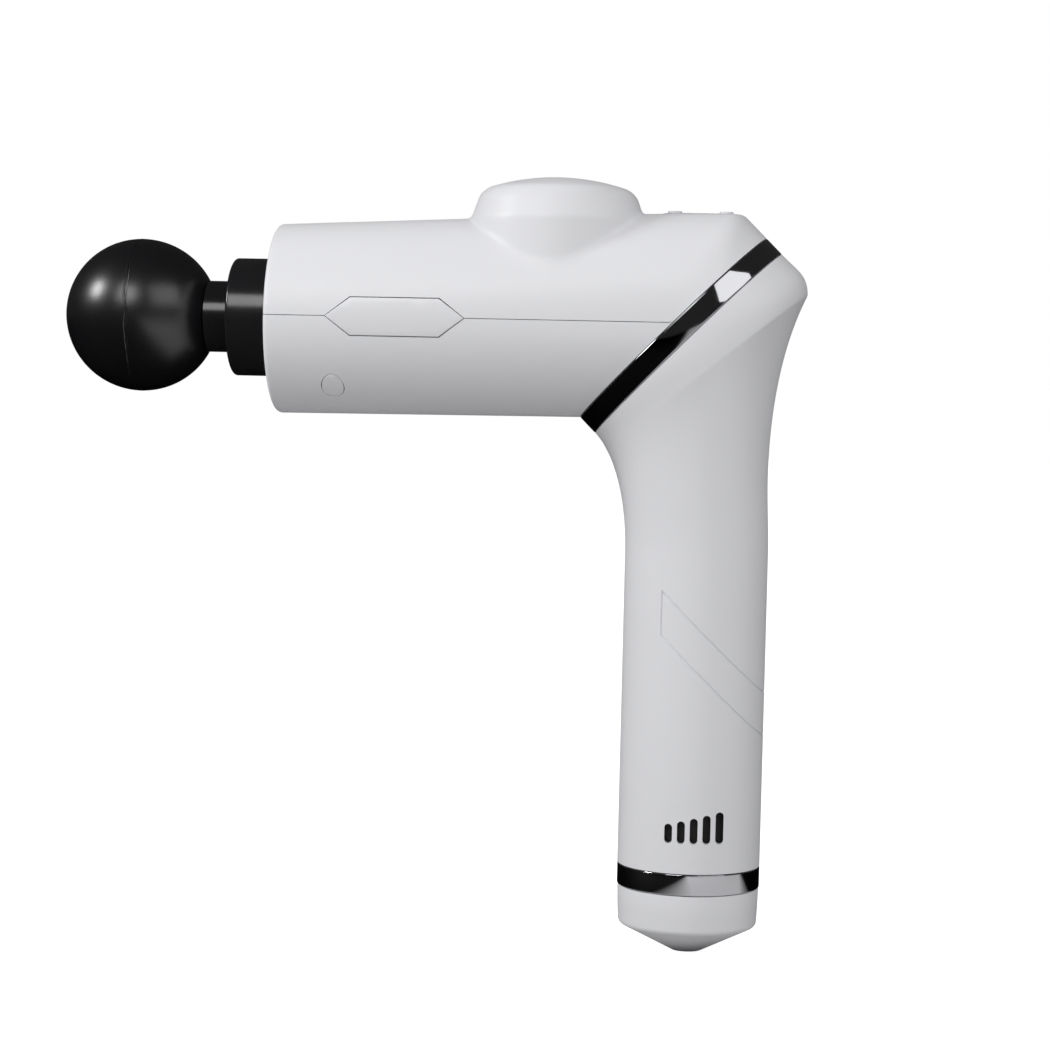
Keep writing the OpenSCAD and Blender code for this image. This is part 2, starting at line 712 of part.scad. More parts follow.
module button_shape(i, grow, z, h) {
    at_axis() translate([button_x[i], 0, panel_z + z]) rotate([0, 0, 90])
        stadium(button_w + 2 * grow, button_len + 2 * grow, h);
}
light_places = [-4, -2, 0, 2, 4];
module at_lights() {
    at_axis() for (p = light_places) translate([panel_x + p, 0, panel_z]) children();
}
module control_bezel() {
    color([0.75, 0.75, 0.78]) difference() {
        at_axis() translate([panel_x, 0, panel_z - skirt]) stadium(panel_len, panel_w, skirt);
        at_axis() translate([panel_x, 0, panel_z - skirt - 1])
            stadium(panel_len - 2 * skirt_t, panel_w - 2 * skirt_t, skirt + 1 - bezel_t);
        for (i = [0, 1]) button_shape(i, button_gap, -skirt, 2 * skirt);
        at_lights() translate([0, 0, -skirt]) cylinder(h = 2 * skirt, r = 0.7);
    }
}
flange_w = 0.5;
module button(i) {
    color("white") {
        button_shape(i, 0, -bezel_t - button_gap, bezel_t + button_gap + 0.8);
        button_shape(i, flange_w, -bezel_t - 0.9, 0.75);
    }
}
module front_button() { button(0); }
module rear_button() { button(1); }
spring_top = -bezel_t - 0.9;
module button_spring(i) {
    color("silver") at_axis()
        translate([button_x[i], 0, panel_z - skirt]) tube(skirt + spring_top, 2.2, 1.7);
}
module front_spring() { button_spring(0); }
module rear_spring() { button_spring(1); }
module button_switches() {
    color("silver") for (i = [0, 1]) at_axis() translate([button_x[i], 0, panel_z - skirt])
        cylinder(h = skirt + spring_top - press - 0.3, r = 1.4);
}
module control_board() {
    color("darkgreen") at_axis() translate([panel_x, 0, panel_z - skirt - 1.2])
        stadium(panel_len - 0.4, panel_w - 0.4, 1.2);
}
module level_lights() {
    color("deepskyblue") at_lights() translate([0, 0, -skirt]) cylinder(h = skirt, r = 0.7);
}
// A lead that leaves along Z, turns through a quarter circle and runs on along -X
lead_r = 0.9;
bend = 4;
module bent_lead(rise, run) {
    cylinder(h = rise - bend, r = lead_r);
    translate([-bend, 0, rise - bend]) rotate([90, 0, 0]) rotate_extrude(angle = 90)
        translate([bend, 0]) circle(r = lead_r);
    translate([-bend - run, 0, rise]) rotate([0, 90, 0]) cylinder(h = run, r = lead_r);
}
module motor_leads() {
    low = drive_z + 1.6;
    // The leads end on the windings' side of the bracket's rear edge
    color("goldenrod") at_axis() for (y = [-3, 0, 3]) translate([drive_x[1] - 14.5, y, low])
        bent_lead(bracket_z + bracket_t + 0.2 + lead_r - low + 0.05,
            motor_x + drive_x[1] - 14.5 - bend - can_r - 0.9);
}
module battery_leads() {
    top = layer_low[1] + cell_len - cup + holder_t + 0.5;
    color("crimson") for (s = [-1, 1]) translate([s * 5, s * 7, top])
        cylinder(h = axis_h + drive_z - top, r = lead_r);
}

upper_shell();
lower_shell();
side_badges();
screw_plugs();
shell_screws();
guide_collar();
guide_bush();
lip_seal();
motor_bracket();
bracket_screws();
shaft_bearings();
stator_core();
motor_windings();
rotor_can();
rotor_magnets();
motor_shaft();
crank_eccentric();
connecting_rod();
rod_bearing();
crank_screw();
piston();
wrist_pin();
head_stem();
stem_rings();
ball_head();
elbow_frame();
metal_band();
handle_shell();
handle_ring();
bottom_cap();
cap_screws();
charge_jack();
charge_board();
battery_cells();
cell_holders();
cell_links();
vent_screens();
driver_board();
driver_chips();
control_bezel();
front_button();
rear_button();
front_spring();
rear_spring();
button_switches();
control_board();
level_lights();
battery_leads();
motor_leads();
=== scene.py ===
"""Massage gun: the visible pieces, materials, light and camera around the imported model.

Shapes are worked out in millimetres in the model's own frame and written to meshes in metres.
The barrel's outer surface is the zero level of a few blended distance fields, found along rays
from the piston's axis; the handle is a loft of rings between its front and its back edge.
"""
import json
import math

import bmesh
import bpy
import numpy as np
from mathutils import Matrix, Vector


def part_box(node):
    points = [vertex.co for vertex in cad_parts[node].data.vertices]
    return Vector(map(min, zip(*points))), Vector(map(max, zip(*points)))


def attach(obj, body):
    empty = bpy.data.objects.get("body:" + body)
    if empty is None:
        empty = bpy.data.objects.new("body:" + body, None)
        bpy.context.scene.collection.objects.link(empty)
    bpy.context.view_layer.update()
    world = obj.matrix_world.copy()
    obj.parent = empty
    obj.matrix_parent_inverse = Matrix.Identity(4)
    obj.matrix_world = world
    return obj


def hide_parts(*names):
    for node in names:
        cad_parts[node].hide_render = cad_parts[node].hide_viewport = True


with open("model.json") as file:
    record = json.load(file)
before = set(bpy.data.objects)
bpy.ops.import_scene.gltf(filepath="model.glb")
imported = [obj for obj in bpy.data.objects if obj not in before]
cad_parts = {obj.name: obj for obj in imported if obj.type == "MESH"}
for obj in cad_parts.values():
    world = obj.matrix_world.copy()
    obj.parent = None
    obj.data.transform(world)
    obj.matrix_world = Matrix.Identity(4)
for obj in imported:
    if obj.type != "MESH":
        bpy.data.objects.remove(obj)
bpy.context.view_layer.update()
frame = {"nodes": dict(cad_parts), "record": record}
MM = 0.001
ROOT2 = math.sqrt(2)


def span(node):
    """Lowest and highest corner of a CAD node in millimetres."""
    low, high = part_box(node)
    return np.array(low) / MM, np.array(high) / MM


def middle_x(node):
    """Middle of a CAD node along X in millimetres."""
    low, high = span(node)
    return (low[0] + high[0]) / 2


# ---- Places taken from the frame, in millimetres ----
collar_low, collar_high = span("guide_collar")
AXIS_Z = (collar_low[2] + collar_high[2]) / 2
FRONT_X = span("lower_shell")[0][0]
COLLAR_X = collar_low[0]
COLLAR_R = 19.2
ring_low, ring_high = span("handle_ring")
HANDLE_R = (ring_high[0] - ring_low[0]) / 2
MOTOR_X = middle_x("rotor_can")
BUMP_TOP = span("upper_shell")[1][2] - AXIS_Z
cap_low = span("bottom_cap")[0]
PANEL_Z = span("control_bezel")[1][2] - AXIS_Z
PANEL_X = middle_x("control_bezel")
BADGE_X = middle_x("side_badges")
PLUG_X = middle_x("screw_plugs")
ball_low, ball_high = span("ball_head")

# ---- Shape of the mouldings, the same as in the CAD model, in millimetres ----
FRONT_R = 30.8
FRONT_DROP = 0.28
DRAFT = math.tan(math.radians(1.06))
TILT = math.tan(math.radians(1.56))
BUMP_R = 25.8
BUMP_EDGE = 40.0                 # height of the bump's upper edge above the piston's axis
BUMP_FOOT = 8.0                  # lowest place of the bump's field, inside the barrel
BUMP_CROWN = 3.6                 # rise of the bump's domed top
CROWN_R = BUMP_R - 3.3           # radius that the dome rises over
BAND_FRONT = 6.1
BAND_W = 7.2
BAND_HIGH = 34.3
KNUCKLE = 10.4
GRIP_TOP = 46.0
WALL = 2.3
SEAM = 0.10                      # half the width of the dark parting lines
FILLET = 1.5                     # rounding of the barrel's front rim
COLLAR_GAP = 0.15                # gap round the guide collar
CUT_GAP = 0.3                    # gap round the badges and the screw covers
PANEL_GAP = 0.15                 # gap round the control panel
PLUG_Y = 21.3
PLUG_R = 3.5
BADGE_HALF = 22.1                # half length of the badge
BADGE_SHOULDER = 8.1             # length of the badge's pointed end
BADGE_HEIGHT = 11.9
PANEL_LEN = 25.0
PANEL_WIDE = 13.0
VENTS = 5
VENT_WIDE = 2.5
VENT_PITCH = 4.05
VENT_LOW = -44.9                 # lower end of every vent slot
VENT_SHORTEST = 6.3
LINE_LEFT = -10.0                # front edge of the engraved outline
LINE_TOP = 35.4
LINE_TALL = 14.0
PISTON_HOLE_R = 12.4
CAP_DROP = 8.3                   # height of the cap's cone
PART_GAP = 0.1                   # gap between neighbouring pieces of the handle


def add_object(name, verts_mm, faces, body="housing", smooth=True):
    """A mesh object from millimetre points, riding on a body where one is named."""
    mesh = bpy.data.meshes.new(name)
    mesh.from_pydata((np.asarray(verts_mm, float) * MM).tolist(), [], [list(map(int, f)) for f in faces])
    mesh.validate()
    obj = bpy.data.objects.new(name, mesh)
    bpy.context.scene.collection.objects.link(obj)
    if smooth:
        mesh.polygons.foreach_set("use_smooth", [True] * len(mesh.polygons))
    if body:
        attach(obj, body)
    return obj


def grid_faces(rows, cols, wrap):
    """Four-sided faces of a rows x cols grid, closed round when wrap is set."""
    faces = []
    for i in range(rows - 1):
        for j in range(cols if wrap else cols - 1):
            k = (j + 1) % cols
            faces.append((i * cols + j, i * cols + k, (i + 1) * cols + k, (i + 1) * cols + j))
    return faces


def sheet_object(name, points, wrap=False, flip=False, body="housing"):
    """A surface from a rows x columns x 3 grid of points."""
    rows, cols = points.shape[:2]
    faces = grid_faces(rows, cols, wrap)
    if flip:
        faces = [f[::-1] for f in faces]
    return add_object(name, points.reshape(-1, 3), faces, body)


def lathe(name, profile, axis="z", centre=(0, 0, 0), n=144, body="housing"):
    """A closed solid of revolution from (distance from the axis, place along it) points."""
    prof = np.array(profile, float)
    ang = np.linspace(0, 2 * np.pi, n, endpoint=False)
    rad, along = prof[:, :1], prof[:, 1:]
    u, v, w = rad * np.cos(ang), rad * np.sin(ang), along + 0 * ang
    pts = np.stack((u, v, w) if axis == "z" else (w, v, u), -1) + np.array(centre)
    ring = np.concatenate((pts, pts[:1]))
    rows, cols = ring.shape[:2]
    faces = [tuple(q % ((rows - 1) * cols) for q in f) for f in grid_faces(rows, cols, True)]
    obj = add_object(name, pts.reshape(-1, 3), faces, body)
    tidy(obj)
    return obj


def tidy(obj, angle=50):
    """Merges doubled points, turns every face outwards and keeps true corners sharp."""
    bm = bmesh.new()
    bm.from_mesh(obj.data)
    bmesh.ops.remove_doubles(bm, verts=bm.verts, dist=0.002 * MM)
    bmesh.ops.dissolve_degenerate(bm, dist=0.001 * MM, edges=bm.edges)
    bmesh.ops.recalc_face_normals(bm, faces=bm.faces)
    bm.to_mesh(obj.data)
    bm.free()
    obj.data.polygons.foreach_set("use_smooth", [True] * len(obj.data.polygons))
    obj.data.set_sharp_from_angle(angle=math.radians(angle))


def arc(cx, cy, r, a0, a1, n=6):
    """Points on a circle from a0 to a1 degrees."""
    return [(cx + r * math.cos(math.radians(a)), cy + r * math.sin(math.radians(a)))
            for a in np.linspace(a0, a1, n)]


def apply_modifiers(obj):
    """Writes the modifiers' result into the mesh."""
    deps = bpy.context.evaluated_depsgraph_get()
    mesh = bpy.data.meshes.new_from_object(obj.evaluated_get(deps))
    obj.modifiers.clear()
    obj.data = mesh


def thicken(obj):
    """Gives an open skin the mouldings' wall, inwards."""
    mod = obj.modifiers.new("thick", "SOLIDIFY")
    mod.thickness = WALL * MM
    mod.offset = -1
    apply_modifiers(obj)


def cut(obj, cutters):
    """Takes the cutters out of a solid."""
    for cutter in cutters:
        mod = obj.modifiers.new("cut", "BOOLEAN")
        mod.operation = "DIFFERENCE"
        mod.solver = "EXACT"
        mod.object = cutter
    apply_modifiers(obj)
    for cutter in cutters:
        bpy.data.objects.remove(cutter)


def prism(name, outline, axis, low, high):
    """A closed prism along Y or Z from a flat outline, used as a cutter."""
    n = len(outline)
    place = {"y": lambda p, h: (p[0], h, p[1]), "z": lambda p, h: (p[0], p[1], h)}[axis]
    verts = [place(p, low) for p in outline] + [place(p, high) for p in outline]
    faces = [(i, (i + 1) % n, n + (i + 1) % n, n + i) for i in range(n)]
    obj = add_object(name, verts, faces + [tuple(range(n))[::-1], tuple(range(n, 2 * n))], None, False)
    tidy(obj)
    return obj


def slot_outline(cx, cy, length, width, along_x, n=10):
    """A flat shape with round ends."""
    side, r = (length - width) / 2, width / 2
    pts = arc(side, 0, r, -90, 90, n) + arc(-side, 0, r, 90, 270, n)
    return [(cx + p[0], cy + p[1]) if along_x else (cx - p[1], cy + p[0]) for p in pts]


# ---- The barrel's surface ----
def cone_z(x):
    """Height of the barrel's centre above the piston's axis."""
    return -FRONT_DROP + (x - FRONT_X) * TILT


def cone_r(x):
    """Radius of the barrel."""
    return FRONT_R + (x - FRONT_X) * DRAFT


BAND_B = cone_r(-8)
BAND_LOW = ROOT2 * (cone_z(-39) - cone_r(-39)) - BAND_FRONT
CAP_R = BAND_B + 0.2
CAP_C = BAND_HIGH - CAP_R


def soft_max(a, b, k):
    """The larger of two fields, rounded over a width of about k where they cross."""
    h = np.clip(0.5 + 0.5 * (a - b) / k, 0, 1)
    return b + (a - b) * h + k * h * (1 - h)


def barrel_field(x, y, z):
    """Below zero inside the barrel's outer surface; z is measured from the piston's axis."""
    cone = np.hypot(y, z - cone_z(x)) - cone_r(x)
    up = (x + z) / ROOT2 - CAP_C
    cap = np.hypot(np.maximum(up, 0), y) - CAP_R
    field = soft_max(soft_max(cone, cap, 2.2), z - PANEL_Z, 1.0)
    rho = np.hypot(x - MOTOR_X, y)
    wall = BUMP_R + np.interp(z, [BUMP_FOOT, 33, BUMP_EDGE, 48], [3.0, 2.5, 0.1, -3.4])
    dome_r = (CROWN_R ** 2 + BUMP_CROWN ** 2) / (2 * BUMP_CROWN)
    dome = BUMP_TOP - dome_r + np.sqrt(np.maximum(dome_r ** 2 - rho ** 2, 0))
    bump = soft_max(soft_max(0.93 * (rho - wall), z - dome, 2.4), BUMP_FOOT - z, 3.0)
    return -soft_max(-field, -bump, 1.5)


def ray_radius(x, ang):
    """Distance from the piston's axis to the surface, at place x and angle ang from straight up."""
    low, high = 18 + 0 * x, 66 + 0 * x
    for _ in range(26):
        mid = (low + high) / 2
        inside = barrel_field(x, mid * np.sin(ang), mid * np.cos(ang)) < 0
        low, high = np.where(inside, mid, low), np.where(inside, high, mid)
    return (low + high) / 2


def band_end(ang):
    """Place along X where the surface reaches the band's front face."""
    x = np.full_like(ang, -10.0)
    for _ in range(60):
        x = 0.5 * x + 0.5 * (ray_radius(x, ang) * np.cos(ang) - BAND_FRONT * ROOT2)
    return x


def barrel_shell(name, angles, rows):
    """One barrel moulding: collar hole, front face, rounded rim and long surface to the band."""
    hole = COLLAR_R + COLLAR_GAP
    rim_r = ray_radius(np.full_like(angles, FRONT_X + FILLET), angles)
    stations = [(FRONT_X + 0 * angles, hole + (rim_r - FILLET - hole) * f) for f in (0, 0.5, 1)]
    for a in np.linspace(0, 90, 9)[1:-1]:
        c, s = math.cos(math.radians(a)), math.sin(math.radians(a))
        stations.append((FRONT_X + FILLET * (1 - c) + 0 * angles, rim_r - FILLET * (1 - s)))
    end = band_end(angles)
    for f in np.linspace(0, 1, rows):
        x = FRONT_X + FILLET + f * (end - FRONT_X - FILLET - 0.02)
        stations.append((x, ray_radius(x, angles)))
    xs = np.array([s[0] for s in stations])
    rs = np.array([s[1] for s in stations])
    zs = rs * np.cos(angles)
    zs = np.where(np.abs(zs) < 0.01, 0, zs)
    sign = 1 if np.cos(angles[len(angles) // 2]) > 0 else -1
    zs = np.where(np.abs(zs) < SEAM, sign * SEAM, zs)
    pts = np.stack((xs, rs * np.sin(angles), zs + AXIS_Z), -1)
    obj = sheet_object(name, pts)
    tidy(obj, 60)
    thicken(obj)
    return obj, end


def badge_cutter(side):
    """The badge's pocket in one side of the barrel."""
    tip, half = BADGE_HALF + CUT_GAP, BADGE_HEIGHT / 2 + CUT_GAP
    slope = tip - BADGE_SHOULDER
    outline = [(-tip, 0), (-slope, half), (slope, half), (tip, 0), (slope, -half), (-slope, -half)]
    outline = [(BADGE_X + p[0], AXIS_Z + p[1]) for p in outline]
    depth = cone_r(BADGE_X) - 1.9
    return prism("cutter", outline, "y", *sorted((side * depth, side * (depth + 12))))


def plug_cutter(side):
    """The well of one screw cover, open at the bottom."""
    outline = arc(PLUG_X, side * PLUG_Y, PLUG_R + CUT_GAP, 0, 345, 24)
    return prism("cutter", outline, "z", AXIS_Z - 45, AXIS_Z - 12)


def build_barrel():
    """Both barrel mouldings with their openings; gives the outline at the band."""
    top = np.radians(np.linspace(-90, 90, 201))
    low = np.radians(np.linspace(90, 270, 121))
    upper, top_end = barrel_shell("upper_barrel_skin", top, 270)
    lower, low_end = barrel_shell("lower_barrel_skin", low, 90)
    opening = slot_outline(PANEL_X, 0, PANEL_LEN + 2 * PANEL_GAP, PANEL_WIDE + 2 * PANEL_GAP, True, 16)
    cut(upper, [prism("cutter", opening, "z", AXIS_Z + PANEL_Z - 9, AXIS_Z + PANEL_Z + 8),
                badge_cutter(1), badge_cutter(-1)])
    cut(lower, [badge_cutter(1), badge_cutter(-1), plug_cutter(1), plug_cutter(-1)])
    for obj, node in ((upper, "upper_shell"), (lower, "lower_shell")):
        tidy(obj, 38)
        finish(obj, "white_plastic", node)
    return outline_at_band(np.concatenate((top, low[1:-1])), np.concatenate((top_end, low_end[1:-1])))


def outline_at_band(angles, end):
    """The barrel's outline on the band's front face: (climb along the band, Y)."""
    r = ray_radius(end, angles)
    return np.stack(((end + r * np.cos(angles)) / ROOT2, r * np.sin(angles)), -1)


def elbow_point(climb, y, out):
    """From the elbow's own axes to the model's frame."""
    return np.stack(((climb - out) / ROOT2, y, (climb + out) / ROOT2 + AXIS_Z), -1)


def build_band(outline):
    """The smoked-chrome band: the outline swept across its width, with rounded edges."""
    edge, thick = 0.45, 1.7
    w = BAND_W - 0.24
    loop = (arc(-edge, w / 2 - edge, edge, 90, 0) + arc(-edge, -w / 2 + edge, edge, 0, -90)
            + [(-thick, -w / 2), (-thick, w / 2)])
    step = np.roll(outline, -1, 0) - np.roll(outline, 1, 0)
    normal = np.stack((step[:, 1], -step[:, 0]), -1)
    normal /= np.linalg.norm(normal, axis=1)[:, None]
    if np.sum(normal * outline) < 0:
        normal = -normal
    rows = []
    for depth, along in loop + loop[:1]:
        p = outline + normal * (depth + 0.05)
        rows.append(elbow_point(p[:, 0], p[:, 1], BAND_FRONT - BAND_W / 2 + along))
    obj = sheet_object("metal_band_skin", np.array(rows), wrap=True)
    tidy(obj, 60)
    finish(obj, "dark_chrome", "metal_band")


# ---- Handle ----
def bezier(a, b, c, d, t):
    """Cubic curve from a to d, pulled towards b and c."""
    a, b, c, d = (np.array(p, float) for p in (a, b, c, d))
    s = 1 - t
    return a * s ** 3 + 3 * b * t * s ** 2 + 3 * c * t * t * s + d * t ** 3


DOWN = np.array([1, -1]) / ROOT2
BAND_REAR = BAND_FRONT - BAND_W
DROP = GRIP_TOP - AXIS_Z
KNUCKLE_AT = np.array([HANDLE_R + KNUCKLE, 10.5])
WAIST = np.array([HANDLE_R - 0.75, DROP * 0.65])


def slope_point(climb):
    """A point of the band's rear face in the XZ plane."""
    return np.array([climb - BAND_REAR, climb + BAND_REAR]) / ROOT2


def front_edge(t):
    """The moulding's front edge in the XZ plane, from the band down to the straight grip."""
    a = slope_point(BAND_LOW)
    return bezier(a, a + 7.5 * DOWN, (-HANDLE_R, DROP + 20), (-HANDLE_R, DROP), t)


def back_edge(t):
    """The moulding's back edge: over the knuckle, in to the waist and out to the grip."""
    a = slope_point(BAND_HIGH)
    if t < 0.25:
        return bezier(a, a + 7 * DOWN, KNUCKLE_AT + (0, 6.7), KNUCKLE_AT, t / 0.25)
    if t < 0.8:
        return bezier(KNUCKLE_AT, KNUCKLE_AT - (3.1, 6.5), WAIST + (0.1, 34), WAIST, (t - 0.25) / 0.55)
    return bezier(WAIST, WAIST - (0, 9), (HANDLE_R, DROP + 9), (HANDLE_R, DROP), (t - 0.8) / 0.2)


def ease(t):
    """Smooth step from 0 to 1."""
    return t * t * (3 - 2 * t)


def flare_ring(t, shape, low_share):
    """One ring of the loft, which turns from the band's outline into a circle."""
    a, b = front_edge(t), back_edge(t)
    length = np.linalg.norm(b - a)
    along = (b - a) / length
    low = length * (low_share + (0.5 - low_share) * t)
    half = BAND_B + (HANDLE_R - BAND_B) * ease(t)
    ang = np.arctan2(shape[:, 1], shape[:, 0])
    mix = ease(min(1, 1.4 * t))
    unit = shape * (1 - mix) + np.stack((np.cos(ang), np.sin(ang)), -1) * mix
    reach = unit[:, 0] * np.where(unit[:, 0] < 0, low, length - low)
    mid = a + low * along
    return np.stack((mid[0] + reach * along[0], unit[:, 1] * half, mid[1] + reach * along[1] + AXIS_Z), -1)


def groove_cutter():
    """A thin closed tube along the slanting outline that runs round the back of the grip."""
    r, groove_r = HANDLE_R, 0.36
    reach = math.acos(LINE_LEFT / r)
    phi = np.linspace(-reach, reach, 90)
    x, y = r * np.cos(phi), r * np.sin(phi)
    upper = np.stack((x, y, LINE_TOP - (x - LINE_LEFT)), -1)
    lower = upper - (0, 0, LINE_TALL)
    share = np.linspace(0, 1, 8)[1:-1, None]
    path = np.concatenate((upper, upper[-1] + (lower[-1] - upper[-1]) * share, lower[::-1],
                           lower[0] + (upper[0] - lower[0]) * share))
    step = np.roll(path, -1, 0) - np.roll(path, 1, 0)
    step /= np.linalg.norm(step, axis=1)[:, None]
    out = path * (1, 1, 0)
    out /= np.linalg.norm(out, axis=1)[:, None]
    side = np.cross(step, out)
    side /= np.linalg.norm(side, axis=1)[:, None]
    rows = [path + groove_r * (math.cos(a) * out + math.sin(a) * side)
            for a in np.linspace(0, 2 * np.pi, 9)]
    ring = np.array(rows).transpose(1, 0, 2)
    ring = np.concatenate((ring, ring[:1]))
    obj = sheet_object("cutter", ring, body=None)
    tidy(obj)
    return obj


def vent_cutters(side):
    """Five upright slots on one side of the grip, each 1 mm taller than the one before."""
    cutters = []
    for i in range(VENTS):
        height = VENT_SHORTEST + i
        outline = slot_outline((i - 1.5) * VENT_PITCH, VENT_LOW + height / 2, height, VENT_WIDE, False, 8)
        cutters.append(prism("cutter", outline, "y", *sorted((side * 12, side * 30))))
    return cutters


def build_handle(outline):
    """The handle moulding: a loft from the band's outline to the round grip, then straight down."""
    widest = outline[np.argmax(np.abs(outline[:, 1])), 0]
    low_share = (widest - BAND_LOW) / (BAND_HIGH - BAND_LOW)
    rel = outline[:, 0] - widest
    rel = np.where(rel < 0, rel / (widest - outline[:, 0].min()), rel / (outline[:, 0].max() - widest))
    shape = np.stack((rel, outline[:, 1] / np.abs(outline[:, 1]).max()), -1)
    rings = [flare_ring(t, shape, low_share) for t in np.linspace(0, 1, 90)]
    last = rings[-1]
    bottom = ring_high[2] + PART_GAP
    for f in np.linspace(0, 1, 50)[1:]:
        ring = last.copy()
        ring[:, 2] = GRIP_TOP + (bottom - GRIP_TOP) * f
        rings.append(ring)
    obj = sheet_object("handle_skin", np.array(rings), wrap=True, flip=True)
    tidy(obj, 60)
    thicken(obj)
    cut(obj, vent_cutters(-1) + vent_cutters(1) + [groove_cutter()])
    tidy(obj, 38)
    finish(obj, "white_plastic", "handle_shell")


def build_round_pieces():
    """The turned pieces: the handle's ring, its bottom cap and the guide collar."""
    r, edge = HANDLE_R, 0.35
    low, high = ring_low[2] + PART_GAP, ring_high[2] - PART_GAP
    ring = lathe("handle_ring_skin", arc(r - edge, high - edge, edge, 90, 0)
                 + arc(r - edge, low + edge, edge, 0, -90) + [(r - 2, low), (r - 2, high)])
    finish(ring, "dark_chrome", "handle_ring")
    top, rim, tip = ring_low[2] - PART_GAP, cap_low[2] + CAP_DROP, cap_low[2]
    fall = math.degrees(math.atan2(7.4, r - 6.4))
    cap = lathe("bottom_cap_skin",
                arc(r - 0.5, top - 0.3, 0.3, 90, 0, 4)
                + [(r - 0.35, (top + rim) / 2)]
                + arc(r - 2.6, rim + 1.9, 2.0, 0, -90 + fall, 9)
                + arc(4.6, tip + 0.8, 0.8, -90 + fall, -180, 6)
                + [(3.8, tip + 3.4), (7, tip + 3.8), (r - 3, rim + 3), (r - 3, top)])
    finish(cap, "white_plastic", "bottom_cap")
    back = FRONT_X + 2.4
    front_rim = arc(COLLAR_X + 1.1, COLLAR_R - 1.1, 1.1, 180, 90, 8)
    lip = arc(COLLAR_X + 0.6, PISTON_HOLE_R + 0.6, 0.6, -90, -180, 5)
    side = [(back, COLLAR_R), (back, PISTON_HOLE_R), (COLLAR_X + 0.6, PISTON_HOLE_R)]
    collar = lathe("guide_collar_skin", [(r, x) for x, r in front_rim + side + lip],
                   axis="x", centre=(0, 0, AXIS_Z))
    finish(collar, "black_gloss", "guide_collar")


def build_ball():
    """The foam head, cut flat at its neck, with the mould's parting line round its middle."""
    radius = (ball_high[2] - ball_low[2]) / 2
    centre = ball_low[0] + radius
    face = ball_high[0]
    last = math.degrees(math.acos((face - centre) / radius))
    turns = np.concatenate((np.linspace(last, 86, 60), np.linspace(86, 94, 41)[1:],
                            np.linspace(94, 180, 70)[1:-1]))
    n = 180
    ang = np.linspace(0, 2 * np.pi, n, endpoint=False)
    rng = np.random.default_rng(7)
    wobble = sum(rng.normal(0, 0.10) * np.cos(k * ang + rng.uniform(0, 6.28)) for k in range(3, 19))
    rough = 1 + 0.35 * sum(rng.normal(0, 1) * np.cos(k * ang + rng.uniform(0, 6.28))
                           for k in range(9, 40)) / 5
    rows = []
    for t in turns:
        off = radius * math.radians(t - 90) - 0.35 * wobble
        lip = 0.05 * np.exp(-((np.abs(off) - 0.42) / 0.2) ** 2)
        r = radius - 0.2 * rough * np.exp(-(off / 0.17) ** 2) + lip * rough - 0.06
        x = centre + r * math.cos(math.radians(t))
        y = r * math.sin(math.radians(t))
        rows.append(np.stack((x, y * np.sin(ang), y * np.cos(ang) + AXIS_Z), -1))
    pts = np.array(rows)
    m = len(pts) * n
    faces = grid_faces(len(pts), n, True)
    verts = np.concatenate((pts.reshape(-1, 3), [(face, 0, AXIS_Z), (centre - radius + 0.06, 0, AXIS_Z)]))
    faces += [(k, (k + 1) % n, m)[::-1] for k in range(n)]
    faces += [(m - n + k, m - n + (k + 1) % n, m + 1) for k in range(n)]
    obj = add_object("foam_ball", verts, faces, "head")
    tidy(obj, 50)
    finish(obj, "black_foam", "ball_head")


# ---- Materials ----
def shader(name, color, rough, metallic=0.0, spec=0.5):
    """A new material, its node tree and its main shader."""
    mat = bpy.data.materials.new(name)
    mat.use_nodes = True
    nt = mat.node_tree
    bsdf = nt.nodes["Principled BSDF"]
    bsdf.inputs["Base Color"].default_value = (*color, 1)
    bsdf.inputs["Roughness"].default_value = rough
    bsdf.inputs["Metallic"].default_value = metallic
    bsdf.inputs["Specular IOR Level"].default_value = spec
    return mat, nt, bsdf


def noise(nt, scale, detail=3.0, rough=0.5):
    """A noise value fixed to the piece."""
    coord = nt.nodes.new("ShaderNodeTexCoord")
    tex = nt.nodes.new("ShaderNodeTexNoise")
    tex.inputs["Scale"].default_value = scale
    tex.inputs["Detail"].default_value = detail
    tex.inputs["Roughness"].default_value = rough
    nt.links.new(coord.outputs["Object"], tex.inputs["Vector"])
    return tex.outputs["Fac"]


def ramp(nt, source, low, high, a, b):
    """Maps a noise value onto a range of numbers or colours."""
    node = nt.nodes.new("ShaderNodeValToRGB")
    node.color_ramp.elements[0].position = low
    node.color_ramp.elements[1].position = high
    node.color_ramp.elements[0].color = (*a, 1) if len(a) == 3 else (a[0],) * 3 + (1,)
    node.color_ramp.elements[1].color = (*b, 1) if len(b) == 3 else (b[0],) * 3 + (1,)
    nt.links.new(source, node.inputs["Fac"])
    return node.outputs["Color"]


def bump(nt, bsdf, source, strength, distance_mm):
    """Drives the shader's normal from a height."""
    node = nt.nodes.new("ShaderNodeBump")
    node.inputs["Strength"].default_value = strength
    node.inputs["Distance"].default_value = distance_mm * MM
    nt.links.new(source, node.inputs["Height"])
    nt.links.new(node.outputs["Normal"], bsdf.inputs["Normal"])


def tinted(color, k):
    """A colour made k times as bright."""
    return tuple(min(1.0, c * k) for c in color)


